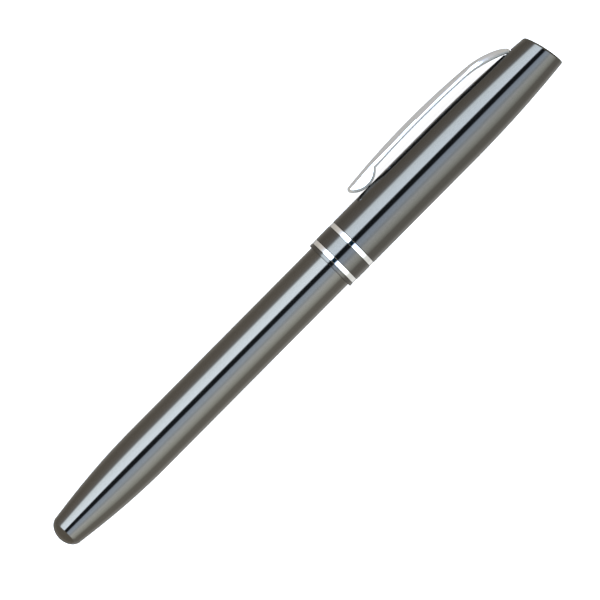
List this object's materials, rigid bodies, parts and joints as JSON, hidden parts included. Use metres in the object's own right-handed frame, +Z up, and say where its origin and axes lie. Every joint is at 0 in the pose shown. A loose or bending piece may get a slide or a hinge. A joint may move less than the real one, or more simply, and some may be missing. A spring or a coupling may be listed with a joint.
{
  "type": "rollerball pen",
  "caption": "Capped rollerball pen with a slim lacquered barrel, sprung side clip, trim rings on a snap cap, screw-in grip and a standard refill.",
  "frame": {"origin": "on the barrel's axis, half way along the capped pen, inside the plain cylinder of the barrel", "axes": "+X along the pen towards the cap's crown, +Z up with the pen lying on a table on its cap and clip, +Y on the clip's side"},
  "size_m": [0.1385, 0.0146, 0.0114],
  "materials": {
    "gunmetal_lacquer": "smooth gunmetal lacquer, high gloss",
    "chrome_plate": "polished chrome plate",
    "dark_plate": "dark polished plating",
    "brass": "machined brass",
    "black_plastic": "moulded black plastic, glossy",
    "inner_plastic": "moulded plastic, matt",
    "refill_plastic": "translucent off-white moulded plastic",
    "plug_plastic": "moulded plastic",
    "spring_steel": "bright drawn wire",
    "nickel_silver": "turned metal",
    "fibre": "bonded ink fibre"
  },
  "bodies": {
    "barrel": {"barrel_shell": "gunmetal_lacquer", "barrel_bush": "brass"},
    "spring": {"refill_spring": "spring_steel"},
    "section": {"section_coupler": "brass", "section_trim_ring": "chrome_plate", "grip_section": "black_plastic", "nose_cone": "chrome_plate"},
    "refill": {"refill_tube": "refill_plastic", "refill_plug": "plug_plastic", "ink_reservoir": "fibre", "feed_rod": "fibre", "tip_holder": "refill_plastic", "writing_tip": "nickel_silver"},
    "ball": {"writing_ball": "nickel_silver"},
    "clutch": {"clutch_ring": "spring_steel"},
    "cap": {"cap_shell": "gunmetal_lacquer", "mouth_bush": "dark_plate", "cap_ring_lower": "chrome_plate", "centre_band": "gunmetal_lacquer", "cap_ring_upper": "chrome_plate", "inner_cap": "inner_plastic", "clip_carrier": "inner_plastic", "clip_pin": "spring_steel", "clip_spring": "spring_steel", "crown": "gunmetal_lacquer", "crown_screw": "spring_steel"},
    "clip": {"clip": "chrome_plate"}
  },
  "joints": [
    {"name": "section_advance", "type": "slide", "parent": "barrel", "child": "spring", "axis": [1, 0, 0], "range_m": [0, 0.006], "deforming": ["refill_spring"]},
    {"name": "section_turn", "type": "hinge", "parent": "spring", "child": "section", "pos_m": [0, 0, 0], "axis": [1, 0, 0], "range_deg": [0, 2161]},
    {"name": "refill_push", "type": "slide", "parent": "section", "child": "refill", "axis": [1, 0, 0], "range_m": [-0.001, 0], "stiffness_N_per_m": 300, "springref_m": 0.003, "deforming": ["refill_spring"]},
    {"name": "ball_roll", "type": "hinge", "parent": "refill", "child": "ball", "pos_m": [0.0538, 0, 0], "axis": [0, 1, 0], "continuous": true},
    {"name": "cap_pull", "type": "slide", "parent": "section", "child": "clutch", "axis": [1, 0, 0], "range_m": [0, 0.06], "deforming": ["clutch_ring"]},
    {"name": "cap_turn", "type": "hinge", "parent": "clutch", "child": "cap", "pos_m": [0, 0, 0], "axis": [1, 0, 0], "continuous": true},
    {"name": "clip_lift", "type": "hinge", "parent": "cap", "child": "clip", "pos_m": [0.06235, 0.00321, -0.00163], "axis": [0, -0.454, -0.891], "range_deg": [0, 6], "stiffness_Nm_per_rad": 2.2, "springref_deg": -2.86, "deforming": ["clip_spring"]}
  ],
  "couplings": [
    {"joint": "section_turn", "follows": "section_advance", "rad_per_m": 6283.2}
  ]
}
